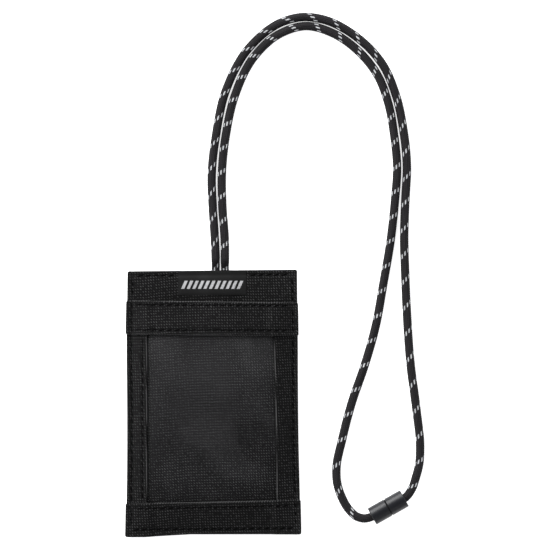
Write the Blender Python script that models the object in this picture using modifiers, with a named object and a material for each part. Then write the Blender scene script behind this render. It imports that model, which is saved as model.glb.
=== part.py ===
"""Neck pouch wallet: a sewn nylon pouch with a clear card window, on a knitted neck cord.

The pouch lies on its back at z = 0, centred on the origin, with its height along +Y. The cord leaves the
top seam as two runs side by side and comes round to a breakaway barrel, whose plug pulls out of its socket.
Units are metres, +Z up.
"""

import math

import bmesh
import bpy
import numpy as np
from mathutils import Matrix

# What touching pieces keep between them
CLEARANCE = 0.0003

# Pouch outline: a little wider at the bottom than at the top
POUCH_HEIGHT = 0.1384
TOP_WIDTH = 0.0888
BOTTOM_WIDTH = 0.0908
CORNER_RADIUS = 0.0012

# Cloth, film and thread
CLOTH = 0.0005
FOLDED_CLOTH = 0.0008
FILM = 0.0003
THREAD = 0.0005
SEAM_INSET = 0.0026

# The main pocket stands open by this much, and the card pocket in front of it by this much more
POCKET_RISE = 0.0054
CARD_ROOM = 0.0009
BULGE_RUN = 0.030

# The strips that frame the window
MOUTH_DROP = 0.0159
BAND_HEIGHT = 0.0175
BAND_OVERHANG = 0.0004
BAND_THREAD_INSET = 0.0027
LEFT_STRIP_WIDTH = 0.0111
RIGHT_STRIP_WIDTH = 0.0117
STRIP_THREAD_INSET = 0.0024
STRIP_UNDER_BAND = 0.0090
FILM_UNDER_STRIP = 0.0080
FILM_UNDER_BAND = 0.0090

# The label patch pressed onto the top edge
LABEL_WIDTH = 0.0352
LABEL_HEIGHT = 0.0127
LABEL = 0.0005
LABEL_SHIFT = -0.0005

# Neck cord: the places of its two runs at the top edge, and its end pressed flat in the seam
CORD_DIAMETER = 0.0044
RUN_GAP = 0.00035
CORD_SHIFT = 0.0037
CORD_LIFT = 0.00005
CORD_POINTS = 36
CORD_TAIL = 0.012
EXIT_RUN = 0.004
FOLD = 0.0010
FOLD_GAP = 0.00065
FOLD_DEPTH = 0.0100
HUMP_RUN = 0.0060

# Breakaway barrel: a socket half and a plug half on one axis
BARREL_DIAMETER = 0.0096
BARREL_HALF = 0.0097
BARREL_PLACE = (0.0911, -0.0539)
BARREL_ANGLE = math.radians(29.5)
PARTING_GAP = 0.0003
RIM_CHAMFER = 0.0003
END_CHAMFER = 0.0006
END_WALL = 0.0018
NOSE_DIAMETER = 0.0060
NOSE_BORE = 0.0042
SNAP_HEIGHT = 0.0001
SNAP_LENGTH = 0.0008
SLOT_WIDTH = 0.0007
BEAD_OVERHANG = 0.0007
BEAD_THICKNESS = 0.0020
BEAD_ROOM = 0.0005
NOSE_ROOM = 0.0004

TOP = POUCH_HEIGHT / 2
BOTTOM = -TOP
MOUTH = TOP - MOUTH_DROP
TOP_BAND_END = MOUTH - BAND_HEIGHT
BOTTOM_BAND_START = BOTTOM + BAND_HEIGHT
INNER_UNDER = CLOTH + CLEARANCE
INNER_TOP = INNER_UNDER + CLOTH
HUMP = FOLD + CLEARANCE
CORD_SPACING = CORD_DIAMETER + RUN_GAP
FOLD_WIDTH = CORD_SPACING - FOLD_GAP
CORD_HEIGHT = CORD_DIAMETER / 2 + CORD_LIFT
BARREL_HEIGHT = BARREL_DIAMETER / 2 + CORD_LIFT
BARREL_AXIS = np.array([math.cos(BARREL_ANGLE), math.sin(BARREL_ANGLE), 0])
BARREL_CENTRE = np.array([*BARREL_PLACE, BARREL_HEIGHT])
CORD_STOP = BARREL_HALF - END_WALL - CLEARANCE
CORD_HOLE = CORD_DIAMETER / 2 + CLEARANCE
BEAD_DIAMETER = CORD_DIAMETER + 2 * BEAD_OVERHANG
CHAMBER_DIAMETER = BEAD_DIAMETER + 2 * BEAD_ROOM
NOSE_LENGTH = CORD_STOP - CLEARANCE - BEAD_THICKNESS - NOSE_ROOM


def clear_scene():
    for thing in list(bpy.data.objects):
        bpy.data.objects.remove(thing, do_unlink=True)


def collection(name):
    found = bpy.data.collections.new(name)
    bpy.context.scene.collection.children.link(found)
    return found


def material(name, colour, roughness, alpha=1.0):
    made = bpy.data.materials.new(name)
    made.use_nodes = True
    shader = made.node_tree.nodes["Principled BSDF"]
    shader.inputs["Base Color"].default_value = (*colour, 1)
    shader.inputs["Roughness"].default_value = roughness
    shader.inputs["Metallic"].default_value = 0.0
    shader.inputs["Alpha"].default_value = alpha
    return made


def add_object(name, data, finish):
    data.materials.append(finish)
    made = bpy.data.objects.new(name, data)
    POUCH.objects.link(made)
    return made


# Cloth pieces


def half_width(y):
    """Half the pouch's width at this height: a straight taper from bottom to top."""
    down = (TOP - y) / POUCH_HEIGHT
    return (TOP_WIDTH + (BOTTOM_WIDTH - TOP_WIDTH) * down) / 2


def smooth_step(x):
    """0 up to 0, 1 from 1 on, and 3x^2 - 2x^3 between."""
    x = min(max(x, 0), 1)
    return x * x * (3 - 2 * x)


def bulge(x, y):
    """Share of the full opening: none along the sewn sides and bottom, and 1 in the middle of the mouth."""
    across = min(abs(x) / (half_width(y) - SEAM_INSET), 1)
    up = min(max((y - BOTTOM - SEAM_INSET) / BULGE_RUN, 0), 1)
    return (1 - across**4) * math.sin(up * math.pi / 2)


def hump(x, y):
    """Share of the lift over the pressed end of the cord, which lies at the top edge."""
    half = (CORD_SPACING + FOLD_WIDTH) / 2 + CLEARANCE
    aside = (abs(x - CORD_SHIFT) - half) / HUMP_RUN
    below = (TOP - FOLD_DEPTH - CLEARANCE - y) / HUMP_RUN
    return (1 - smooth_step(aside)) * (1 - smooth_step(below))


def over_strips(x, y):
    """1 over the side strips, falling to 0 inside the window between them."""
    left = (x - strip_edge_left(y)) / HUMP_RUN
    right = (strip_edge_right(y) - x) / HUMP_RUN
    return 1 - smooth_step(min(left, right))


def strip_edge_left(y):
    return LEFT_STRIP_WIDTH - half_width(y)


def strip_edge_right(y):
    return half_width(y) - RIGHT_STRIP_WIDTH


def inner_under(x, y):
    return INNER_UNDER + HUMP * hump(x, y)


def inner_over(x, y):
    return inner_under(x, y) + CLOTH


def label_under(x, y):
    return inner_over(x, y) + CLEARANCE


def pocket_under(x, y):
    return INNER_TOP + CLEARANCE + POCKET_RISE * bulge(x, y)


def film_under(x, y):
    return pocket_under(x, y) + CLOTH + CLEARANCE + CARD_ROOM * bulge(x, y)


def strip_under(x, y):
    return film_under(x, y) + FILM + CLEARANCE


def band_under(x, y):
    return strip_under(x, y) + (FOLDED_CLOTH + CLEARANCE) * over_strips(x, y)


def strip_top(x, y):
    return strip_under(x, y) + FOLDED_CLOTH


def band_top(x, y):
    return band_under(x, y) + FOLDED_CLOTH


def sheet(name, edges, columns, rows, under, thickness, finish, rounded=True):
    """A piece of cloth: a grid between two side edges, laid at its height, and thickened straight up.

    columns are shares of the way from the left edge to the right one, and rows are heights up the pouch.
    """
    bm = bmesh.new()
    across = len(columns) - 1
    up = len(rows) - 1
    bmesh.ops.create_grid(bm, x_segments=across, y_segments=up, size=0.5)
    corners = []
    for vertex in bm.verts:
        column = round((vertex.co.x + 0.5) * across)
        row = round((vertex.co.y + 0.5) * up)
        y = rows[row]
        left = edges[0](y)
        x = left + (edges[1](y) - left) * columns[column]
        if column in (0, across) and row in (0, up):
            corners.append((x, y))
        vertex.co = (x, y, under(x, y))
    lifted = bmesh.ops.extrude_face_region(bm, geom=list(bm.faces))["geom"]
    for vertex in lifted:
        if isinstance(vertex, bmesh.types.BMVert):
            vertex.co.z += thickness
    bmesh.ops.recalc_face_normals(bm, faces=list(bm.faces))
    if rounded:
        bmesh.ops.bevel(
            bm,
            geom=[edge for edge in bm.edges if is_corner(edge, corners)],
            offset=CORNER_RADIUS,
            segments=3,
            profile=0.5,
            affect="EDGES",
        )
    data = bpy.data.meshes.new(name)
    bm.to_mesh(data)
    bm.free()
    return add_object(name, data, finish)


def is_corner(edge, corners):
    """Whether this edge stands upright on one of the corners."""
    first, second = (vertex.co for vertex in edge.verts)
    if math.dist(first.xy, second.xy) > 1e-6:
        return False
    return any(math.dist(first.xy, corner) < 1e-6 for corner in corners)


def side_edges(overhang=0.0):
    return (
        lambda y: -half_width(y) - overhang,
        lambda y: half_width(y) + overhang,
    )


def even(start, end, pieces):
    return list(np.linspace(start, end, pieces + 1))


def across_pouch(pieces, overhang=0.0):
    """Shares of the way across, with a line along the sewing on each side, where the bulge starts."""
    seam = (SEAM_INSET + overhang) / (TOP_WIDTH + 2 * overhang)
    return [0, *even(seam, 1 - seam, pieces), 1]


def up_from_bottom(end, pieces):
    """Heights from the bottom edge, with a line along the bottom sewing."""
    return [BOTTOM, *even(BOTTOM + SEAM_INSET, end, pieces)]


def make_back(cloth):
    whole = side_edges()
    sheet("rear_panel", whole, even(0, 1, 1), even(BOTTOM, TOP, 1), lambda x, y: 0, CLOTH, cloth)
    hump_end = TOP - FOLD_DEPTH - CLEARANCE - HUMP_RUN
    rows = [BOTTOM, (BOTTOM + hump_end) / 2, *even(hump_end, TOP, 8)]
    sheet("inner_panel", whole, even(0, 1, 30), rows, inner_under, CLOTH, cloth)


def make_label(rubber):
    edges = (
        lambda y: LABEL_SHIFT - LABEL_WIDTH / 2,
        lambda y: LABEL_SHIFT + LABEL_WIDTH / 2,
    )
    rows = even(TOP - LABEL_HEIGHT, TOP, 6)
    sheet("label_patch", edges, even(0, 1, 12), rows, label_under, LABEL, rubber)


def make_pockets(cloth, vinyl):
    whole = side_edges()
    rows = up_from_bottom(MOUTH, 16)
    sheet("pocket_panel", whole, across_pouch(18), rows, pocket_under, CLOTH, cloth)
    edges = (
        lambda y: strip_edge_left(y) - FILM_UNDER_STRIP,
        lambda y: strip_edge_right(y) + FILM_UNDER_STRIP,
    )
    low = BOTTOM_BAND_START - FILM_UNDER_BAND
    high = TOP_BAND_END + FILM_UNDER_BAND
    sheet("window_film", edges, even(0, 1, 18), even(low, high, 14), film_under, FILM, vinyl)


def make_strips(cloth):
    rows = even(BOTTOM_BAND_START - STRIP_UNDER_BAND, TOP_BAND_END + STRIP_UNDER_BAND, 14)
    left = (lambda y: -half_width(y), strip_edge_left)
    right = (strip_edge_right, half_width)
    left_columns = [0, *even(SEAM_INSET / LEFT_STRIP_WIDTH, 1, 3)]
    right_columns = [*even(0, 1 - SEAM_INSET / RIGHT_STRIP_WIDTH, 3), 1]
    sheet("left_strip", left, left_columns, rows, strip_under, FOLDED_CLOTH, cloth, False)
    sheet("right_strip", right, right_columns, rows, strip_under, FOLDED_CLOTH, cloth, False)


def make_bands(cloth):
    across = side_edges(BAND_OVERHANG)
    top_rows = even(TOP_BAND_END, MOUTH, 3)
    bottom_rows = up_from_bottom(BOTTOM_BAND_START, 4)
    columns = across_pouch(30, BAND_OVERHANG)
    sheet("top_band", across, columns, top_rows, band_under, FOLDED_CLOTH, cloth, False)
    sheet("bottom_band", across, columns, bottom_rows, band_under, FOLDED_CLOTH, cloth)


# Thread


def thread(name, points, finish):
    """One row of sewing, as a thin line of thread just over the cloth."""
    data = bpy.data.curves.new(name, "CURVE")
    data.dimensions = "3D"
    data.bevel_depth = THREAD / 2
    data.bevel_resolution = 0
    data.use_fill_caps = True
    spline = data.splines.new("POLY")
    spline.points.add(len(points) - 1)
    for point, place in zip(spline.points, points):
        point.co = (*place, 1)
    return add_object(name, data, finish)


def thread_row(name, y, left, right, top, finish):
    """A row across the pouch, following the cloth below it."""
    lift = CLEARANCE + THREAD / 2
    xs = even(left, right, max(2, round((right - left) / 0.004)))
    thread(name, [(x, y, top(x, y) + lift) for x in xs], finish)


def side_row(name, side, finish):
    """A row down one side, which steps up over the edges of the bands and strips."""
    lift = CLEARANCE + THREAD / 2
    step = CLEARANCE + THREAD
    stretches = (
        (TOP - SEAM_INSET, MOUTH + step, lambda x, y: INNER_TOP),
        (MOUTH + step, TOP_BAND_END - step, band_top),
        (TOP_BAND_END - step, BOTTOM_BAND_START + step, strip_top),
        (BOTTOM_BAND_START + step, BOTTOM + SEAM_INSET, band_top),
    )
    points = []
    for high, low, top in stretches:
        for y in even(high, low, 3):
            x = side * (half_width(y) - SEAM_INSET)
            points.append((x, y, top(x, y) + lift))
    thread(name, points, finish)


def make_threads(nylon):
    beside_row = SEAM_INSET + THREAD + CLEARANCE
    hem = TOP - SEAM_INSET
    label_left = LABEL_SHIFT - LABEL_WIDTH / 2 - CLEARANCE
    label_right = LABEL_SHIFT + LABEL_WIDTH / 2 + CLEARANCE
    hem_end = half_width(hem) - beside_row
    thread_row("hem_thread_left", hem, -hem_end, label_left, inner_over, nylon)
    thread_row("hem_thread_right", hem, label_right, hem_end, inner_over, nylon)
    side_row("side_thread_left", -1, nylon)
    side_row("side_thread_right", 1, nylon)
    rows = {
        "top_band_thread_upper": MOUTH - BAND_THREAD_INSET,
        "top_band_thread_lower": TOP_BAND_END + BAND_THREAD_INSET,
        "bottom_band_thread_upper": BOTTOM_BAND_START - BAND_THREAD_INSET,
        "bottom_band_thread_lower": BOTTOM + SEAM_INSET + THREAD + CLEARANCE,
    }
    for name, y in rows.items():
        reach = half_width(y) - beside_row
        thread_row(name, y, -reach, reach, band_top, nylon)
    lift = CLEARANCE + THREAD / 2
    ends = (BOTTOM_BAND_START + CLEARANCE + THREAD, TOP_BAND_END - CLEARANCE - THREAD)
    points = []
    for y in even(*ends, 16):
        x = strip_edge_left(y) - STRIP_THREAD_INSET
        points.append((x, y, strip_top(x, y) + lift))
    thread("strip_thread", points, nylon)


# Neck cord


def at_barrel(along):
    """A point on the barrel's axis, this far from its parting line towards the plug's end."""
    return tuple(BARREL_CENTRE + BARREL_AXIS * along)


def smooth_route(route, count, tail):
    """Points along the smooth curve through a route: even, with the last 3 closer together over the tail.

    Each stretch is a cubic whose slopes at the route's points are those of the points' own spacing.
    """
    points = np.array(route)
    knots = np.append(0, np.cumsum(np.linalg.norm(np.diff(points, axis=0), axis=1)))
    slopes = np.gradient(points, knots, axis=0)
    fine = np.linspace(0, knots[-1], 40 * len(points))
    k = np.clip(np.searchsorted(knots, fine, "right") - 1, 0, len(knots) - 2)
    span = (knots[k + 1] - knots[k])[:, None]
    t = (fine - knots[k])[:, None] / span
    curve = points[k] * (1 + 2 * t) * (1 - t) ** 2 + points[k + 1] * t**2 * (3 - 2 * t)
    curve += slopes[k] * span * t * (1 - t) ** 2 - slopes[k + 1] * span * t**2 * (1 - t)
    along = np.append(0, np.cumsum(np.linalg.norm(np.diff(curve, axis=0), axis=1)))
    spots = np.linspace(0, along[-1] - tail, count)
    spots = np.append(spots, along[-1] - tail * np.array([2 / 3, 1 / 3, 0]))
    return np.column_stack([np.interp(spots, along, curve[:, i]) for i in range(3)])


def cord(name, route, finish):
    """One run of the cord, as a round tube from the seam into its half of the barrel."""
    data = bpy.data.curves.new(name, "CURVE")
    data.dimensions = "3D"
    data.bevel_depth = CORD_DIAMETER / 2
    data.bevel_resolution = 3
    data.use_fill_caps = True
    places = smooth_route(route, CORD_POINTS, CORD_TAIL)
    spline = data.splines.new("POLY")
    spline.points.add(len(places) - 1)
    for point, place in zip(spline.points, places):
        point.co = (*place, 1)
    return add_object(name, data, finish)


def cord_routes():
    """The two runs' own points, from the top seam to the barrel, in the lay of a loop put down flat."""
    low = CORD_HEIGHT
    start = TOP + CLEARANCE
    left = CORD_SHIFT - CORD_SPACING / 2
    right = CORD_SHIFT + CORD_SPACING / 2
    outer = [
        (left, start, low),
        (left, start + EXIT_RUN, low),
        (0.0009, 0.0850, low),
        (-0.0003, 0.1040, low),
        (-0.0008, 0.1176, low),
        (0.0014, 0.1395, low),
        (0.0071, 0.1645, low),
        (0.0190, 0.1857, low),
        (0.0374, 0.1994, low),
        (0.0468, 0.2014, low),
        (0.0562, 0.2004, low),
        (0.0751, 0.1907, low),
        (0.0881, 0.1769, low),
        (0.0953, 0.1603, low),
        (0.0989, 0.1436, low),
        (0.1009, 0.1240, low),
        (0.1001, 0.1061, low),
        (0.0995, 0.0860, low),
        (0.1000, 0.0680, low),
        (0.1010, 0.0456, low),
        (0.1027, 0.0216, low),
        (0.1059, -0.0034, low),
        (0.1078, -0.0225, low),
        (0.1073, -0.0315, low + 0.0003),
        (0.1056, -0.0382, low + 0.0009),
        (0.1033, -0.0446, low + 0.0018),
        at_barrel(BARREL_HALF + CLEARANCE),
        at_barrel(CORD_STOP),
    ]
    inner = [
        (right, start, low),
        (right, start + EXIT_RUN, low),
        (0.0060, 0.0850, low),
        (0.0047, 0.1040, low),
        (0.0045, 0.1190, low),
        (0.0066, 0.1400, low),
        (0.0113, 0.1605, low),
        (0.0216, 0.1811, low),
        (0.0342, 0.1924, low),
        (0.0484, 0.1967, low),
        (0.0621, 0.1931, low),
        (0.0749, 0.1843, low),
        (0.0858, 0.1708, low),
        (0.0913, 0.1562, low),
        (0.0943, 0.1395, low),
        (0.0958, 0.1228, low),
        (0.0947, 0.1061, low),
        (0.0923, 0.0842, low),
        (0.0888, 0.0634, low),
        (0.0844, 0.0394, low),
        (0.0784, 0.0185, low),
        (0.0726, 0.0018, low),
        (0.0671, -0.0190, low),
        (0.0642, -0.0336, low),
        (0.0645, -0.0409, low),
        (0.0667, -0.0481, low + 0.0001),
        (0.0708, -0.0552, low + 0.0006),
        (0.0742, -0.0584, low + 0.0011),
        (0.0784, -0.0597, low + 0.0019),
        at_barrel(-BARREL_HALF - CLEARANCE),
        at_barrel(-CORD_STOP),
    ]
    return outer, inner


def make_cord(braid):
    outer, inner = cord_routes()
    cord("cord_outer", outer, braid)
    cord("cord_inner", inner, braid)
    make_fold(braid)


def arc(centre, radius, start, end, steps):
    """Points on an arc, between two angles in degrees."""
    angles = np.radians(np.linspace(start, end, steps))
    return [(centre[0] + radius * math.cos(a), centre[1] + radius * math.sin(a)) for a in angles]


def make_fold(braid):
    """The bend of the cord, pressed flat between the two plies of the back wall: a thick U in outline."""
    outside = (CORD_SPACING + FOLD_WIDTH) / 2
    inside = (CORD_SPACING - FOLD_WIDTH) / 2
    centre = (CORD_SHIFT, TOP - FOLD_DEPTH + outside)
    outline = [(CORD_SHIFT - outside, TOP)]
    outline += arc(centre, outside, 180, 360, 13)
    outline += [(CORD_SHIFT + outside, TOP), (CORD_SHIFT + inside, TOP)]
    outline += arc(centre, inside, 360, 180, 5)
    outline += [(CORD_SHIFT - inside, TOP)]
    data = bpy.data.curves.new("cord_fold", "CURVE")
    data.dimensions = "2D"
    data.fill_mode = "BOTH"
    data.extrude = FOLD / 2
    spline = data.splines.new("POLY")
    spline.points.add(len(outline) - 1)
    for point, (x, y) in zip(spline.points, outline):
        point.co = (x, y, 0, 1)
    spline.use_cyclic_u = True
    made = add_object("cord_fold", data, braid)
    made.location.z = CLOTH + CLEARANCE + FOLD / 2
    return made


# Breakaway barrel


def turned(name, profile, finish):
    """A piece turned about the barrel's axis: its profile is (radius, place along the axis) round the wall."""
    bm = bmesh.new()
    corners = [bm.verts.new((radius, 0, along)) for radius, along in profile]
    for first, second in zip(corners, corners[1:] + corners[:1]):
        bm.edges.new((first, second))
    data = bpy.data.meshes.new(name)
    bm.to_mesh(data)
    bm.free()
    made = add_object(name, data, finish)
    screw = made.modifiers.new("turn", "SCREW")
    screw.steps = 32
    screw.render_steps = 32
    screw.use_merge_vertices = True
    screw.merge_threshold = 0.00001
    set_on_barrel(made)
    return made


def set_on_barrel(made, along=0.0):
    """Puts a piece on the barrel's axis, its own +Z pointing towards the plug's end."""
    made.location = BARREL_CENTRE + BARREL_AXIS * along
    made.rotation_euler = (0, math.pi / 2, BARREL_ANGLE)


def make_socket(plastic):
    outside = BARREL_DIAMETER / 2
    bore = NOSE_DIAMETER / 2 + SNAP_HEIGHT + CLEARANCE
    near = -PARTING_GAP / 2
    groove = -NOSE_LENGTH + 2 * SNAP_LENGTH
    profile = [
        (outside - RIM_CHAMFER, near),
        (outside, near - RIM_CHAMFER),
        (outside, END_CHAMFER - BARREL_HALF),
        (outside - END_CHAMFER, -BARREL_HALF),
        (CORD_HOLE, -BARREL_HALF),
        (CORD_HOLE, END_WALL - BARREL_HALF),
        (bore, END_WALL - BARREL_HALF),
        (bore, groove - SNAP_LENGTH - CLEARANCE),
        (bore + SNAP_HEIGHT, groove - SNAP_LENGTH),
        (bore + SNAP_HEIGHT, groove),
        (bore, groove + CLEARANCE),
        (bore, near),
    ]
    return turned("socket_shell", profile, plastic)


def make_plug(plastic):
    outside = BARREL_DIAMETER / 2
    nose = NOSE_DIAMETER / 2
    tip = -NOSE_LENGTH
    near = PARTING_GAP / 2
    profile = [
        (outside - END_CHAMFER, BARREL_HALF),
        (outside, BARREL_HALF - END_CHAMFER),
        (outside, near + RIM_CHAMFER),
        (outside - RIM_CHAMFER, near),
        (nose, near),
        (nose, tip + 2 * SNAP_LENGTH),
        (nose + SNAP_HEIGHT, tip + 1.5 * SNAP_LENGTH),
        (nose + SNAP_HEIGHT, tip + SNAP_LENGTH),
        (nose - SNAP_HEIGHT, tip),
        (NOSE_BORE / 2, tip),
        (NOSE_BORE / 2, near + END_WALL),
        (CHAMBER_DIAMETER / 2, near + END_WALL),
        (CHAMBER_DIAMETER / 2, BARREL_HALF - END_WALL),
        (CORD_HOLE, BARREL_HALF - END_WALL),
        (CORD_HOLE, BARREL_HALF),
    ]
    plug = turned("plug_shell", profile, plastic)
    slot_length = NOSE_LENGTH - SLOT_WIDTH
    for turn in (0, math.pi / 2):
        bm = bmesh.new()
        bmesh.ops.create_cube(bm, size=1)
        bmesh.ops.scale(bm, vec=(SLOT_WIDTH, BARREL_DIAMETER, slot_length), verts=bm.verts)
        bmesh.ops.rotate(bm, matrix=Matrix.Rotation(turn, 3, "Z"), verts=bm.verts)
        bmesh.ops.translate(bm, vec=(0, 0, tip - SLOT_WIDTH / 2 + slot_length / 2), verts=bm.verts)
        data = bpy.data.meshes.new("slot_cutter")
        bm.to_mesh(data)
        bm.free()
        cutter = bpy.data.objects.new("slot_cutter", data)
        CUTTERS.objects.link(cutter)
        cutter.hide_render = True
        cutter.display_type = "WIRE"
        set_on_barrel(cutter)
        cut = plug.modifiers.new("slot", "BOOLEAN")
        cut.operation = "DIFFERENCE"
        cut.object = cutter
    return plug


def make_beads(braid):
    """The melted end of each run: a flat bead too wide for the hole that the cord comes in by."""
    inside = CORD_STOP - CLEARANCE - BEAD_THICKNESS / 2
    for name, along in (("socket_bead", -inside), ("plug_bead", inside)):
        bm = bmesh.new()
        bmesh.ops.create_uvsphere(bm, u_segments=20, v_segments=8, radius=0.5)
        size = (BEAD_DIAMETER, BEAD_DIAMETER, BEAD_THICKNESS)
        bmesh.ops.scale(bm, vec=size, verts=bm.verts)
        data = bpy.data.meshes.new(name)
        bm.to_mesh(data)
        bm.free()
        set_on_barrel(add_object(name, data, braid), along)


clear_scene()
POUCH = collection("neck_pouch_wallet")
CUTTERS = collection("cutters")
weave = material("nylon_weave", (0.013, 0.013, 0.014), 0.8)
clear_vinyl = material("clear_vinyl", (0.6, 0.62, 0.65), 0.25, 0.4)
smooth_rubber = material("label_rubber", (0.012, 0.012, 0.012), 0.5)
sewing_thread = material("sewing_thread", (0.02, 0.02, 0.021), 0.6)
knit = material("cord_knit", (0.02, 0.019, 0.021), 0.8)
moulding = material("barrel_plastic", (0.035, 0.037, 0.043), 0.35)
make_back(weave)
make_label(smooth_rubber)
make_pockets(weave, clear_vinyl)
make_strips(weave)
make_bands(weave)
make_threads(sewing_thread)
make_cord(knit)
make_socket(moulding)
make_plug(moulding)
make_beads(knit)
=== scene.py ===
"""Neck pouch wallet: a sewn black nylon pouch with a clear card window, lying on a white table.

Its knitted neck cord leaves the top seam as two runs, which come round to a breakaway barrel. The file
follows the pouch as it is put together: back, cord, front layers from the inside out, sewing, barrel, and
the studio. Units are metres.
"""

import bpy
import numpy as np
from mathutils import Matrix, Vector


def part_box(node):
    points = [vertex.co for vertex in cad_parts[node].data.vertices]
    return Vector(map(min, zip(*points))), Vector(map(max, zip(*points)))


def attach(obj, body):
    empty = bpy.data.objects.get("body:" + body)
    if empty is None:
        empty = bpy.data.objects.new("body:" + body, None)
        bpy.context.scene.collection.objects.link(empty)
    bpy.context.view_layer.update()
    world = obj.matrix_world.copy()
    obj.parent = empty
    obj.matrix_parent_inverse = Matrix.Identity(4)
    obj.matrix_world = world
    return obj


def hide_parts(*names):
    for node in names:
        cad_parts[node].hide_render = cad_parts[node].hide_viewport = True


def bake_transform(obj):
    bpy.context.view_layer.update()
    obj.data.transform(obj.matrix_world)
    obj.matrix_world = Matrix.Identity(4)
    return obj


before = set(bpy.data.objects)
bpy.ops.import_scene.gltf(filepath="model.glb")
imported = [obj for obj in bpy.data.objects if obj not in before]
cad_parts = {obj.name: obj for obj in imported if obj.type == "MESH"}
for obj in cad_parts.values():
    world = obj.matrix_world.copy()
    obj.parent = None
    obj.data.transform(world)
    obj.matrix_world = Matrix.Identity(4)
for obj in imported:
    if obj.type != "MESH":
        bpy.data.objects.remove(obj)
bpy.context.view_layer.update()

# ------------------------------------------------------------
# Rear panel: the outer back wall, one ply of coated woven nylon. Its edges are turned in and sewn to the
# front layers all round. It lies flat on the table.

CLOTH = 0.00045
GRID_STEP = 0.0008
CORNER = 0.0010
SIDE_SEAM = 0.0026
FOLD_RADIUS = 0.00026
POUCH_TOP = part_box("rear_panel")[1].y
POUCH_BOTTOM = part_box("rear_panel")[0].y
SIDE_HEIGHTS = [-0.070, -0.045, -0.020, 0.010, 0.035, 0.055, 0.070]
LEFT_SIDE = [-0.0455, -0.0451, -0.0449, -0.0450, -0.0452, -0.0449, -0.0447]
RIGHT_SIDE = [0.0456, 0.0451, 0.0445, 0.0442, 0.0441, 0.0438, 0.0437]


def smooth_through(knots, values, at):
    """The smooth line through a few points: on each stretch a cubic, with the slopes of np.gradient."""
    knots = np.asarray(knots, float)
    values = np.asarray(values, float)
    slopes = np.gradient(values, knots, axis=0)
    at = np.clip(at, knots[0], knots[-1])
    k = np.clip(np.searchsorted(knots, at, "right") - 1, 0, len(knots) - 2)
    span = knots[k + 1] - knots[k]
    t = (at - knots[k]) / span
    if values.ndim > 1:
        span = span[..., None]
        t = t[..., None]
    ends = values[k] * (1 + 2 * t) * (1 - t) ** 2 + values[k + 1] * t**2 * (3 - 2 * t)
    return ends + slopes[k] * span * t * (1 - t) ** 2 - slopes[k + 1] * span * t**2 * (1 - t)


def left_edge(y):
    """The pouch's left side, which wanders by less than a millimetre on its way up."""
    return smooth_through(SIDE_HEIGHTS, LEFT_SIDE, y)


def right_edge(y):
    """The pouch's right side, which comes in by two millimetres from bottom to top."""
    return smooth_through(SIDE_HEIGHTS, RIGHT_SIDE, y)


def top_edge(x):
    """The top seam, a little higher on the right."""
    return POUCH_TOP + 0.0002 + 0.010 * x


def bottom_edge(x):
    """The bottom seam, which hangs lower at its left corner."""
    return POUCH_BOTTOM + 0.0012 - 0.0014 * np.clip((-0.012 - x) / 0.024, 0, 1)


def edged(length, step, round_end):
    """Places from 0 to length in even steps, with more close to both ends, where cloth's edge is round."""
    near = round_end * (1 - np.cos(np.linspace(0, np.pi / 2, 5)))
    between = np.linspace(2 * round_end, length - 2 * round_end, max(2, round(length / step)))
    return np.concatenate([near, between, length - near[::-1]])


def shifted(edge, by):
    """The same edge, moved by this much."""
    return lambda at: edge(at) + by


def patch(start, end, left, right, corner, height, step=GRID_STEP):
    """A grid of points between two end edges and two side edges, with rounded corners and given heights.

    Near an end, each side comes in by corner - root(corner^2 - (corner - d)^2), d being how far it is.
    """
    wide = np.mean(right(np.array([0.0])) - left(np.array([0.0])))
    tall = np.mean(end(np.array([0.0])) - start(np.array([0.0])))
    u = edged(wide, step, CLOTH / 2)[None, :] / wide
    v = edged(tall, step, CLOTH / 2)
    for spot in (0.25, 0.5, 0.75, 1.0):
        v = np.append(v, [spot * corner, tall - spot * corner])
    v = np.unique(np.round(v, 7))[:, None]
    middle = (left(v + start(0.0)) + right(v + start(0.0))) / 2
    from_end = np.minimum(np.minimum(v, tall - v), corner)
    cut = corner - np.sqrt(np.maximum(corner**2 - (corner - from_end) ** 2, 0))
    rough_y = start(middle) + v
    low_x = left(rough_y) + cut
    high_x = right(rough_y) - cut
    x = low_x + (high_x - low_x) * u
    y = start(x) + (end(x) - start(x)) * v / tall
    return np.stack([x, y, height(x, y)], axis=2)


def grid_quads(rows, columns, wrapped=False):
    """Corner numbers of a grid's quads, row by row. A wrapped grid's last column meets its first."""
    last = columns if wrapped else columns - 1
    r, c = np.meshgrid(np.arange(rows - 1), np.arange(last), indexing="ij")
    r = r.ravel()
    c = c.ravel()
    here = r * columns + c
    beside = r * columns + (c + 1) % columns
    return np.stack([here, beside, beside + columns, here + columns], axis=1)


def make_piece(name, points, faces, corners_uv, finish, sharp=None):
    """An object from points, faces and a place on the cloth for each face corner, shaded smooth."""
    data = bpy.data.meshes.new(name)
    data.from_pydata(np.asarray(points).tolist(), [], [list(map(int, face)) for face in faces])
    if corners_uv is not None:
        layer = data.uv_layers.new(name="cloth")
        layer.data.foreach_set("uv", np.asarray(corners_uv, np.float32).ravel())
    data.materials.append(finish)
    data.shade_smooth()
    if sharp is not None:
        data.set_sharp_from_angle(angle=np.radians(sharp))
    made = bpy.data.objects.new(name, data)
    bpy.context.scene.collection.objects.link(made)
    return made


def walked(points, axis):
    """Distances along the lines of a grid, from its first line on."""
    steps = np.linalg.norm(np.diff(points, axis=axis), axis=2)
    start = np.zeros_like(np.take(steps, [0], axis=axis))
    return np.concatenate([start, np.cumsum(steps, axis=axis)], axis=axis)


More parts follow.
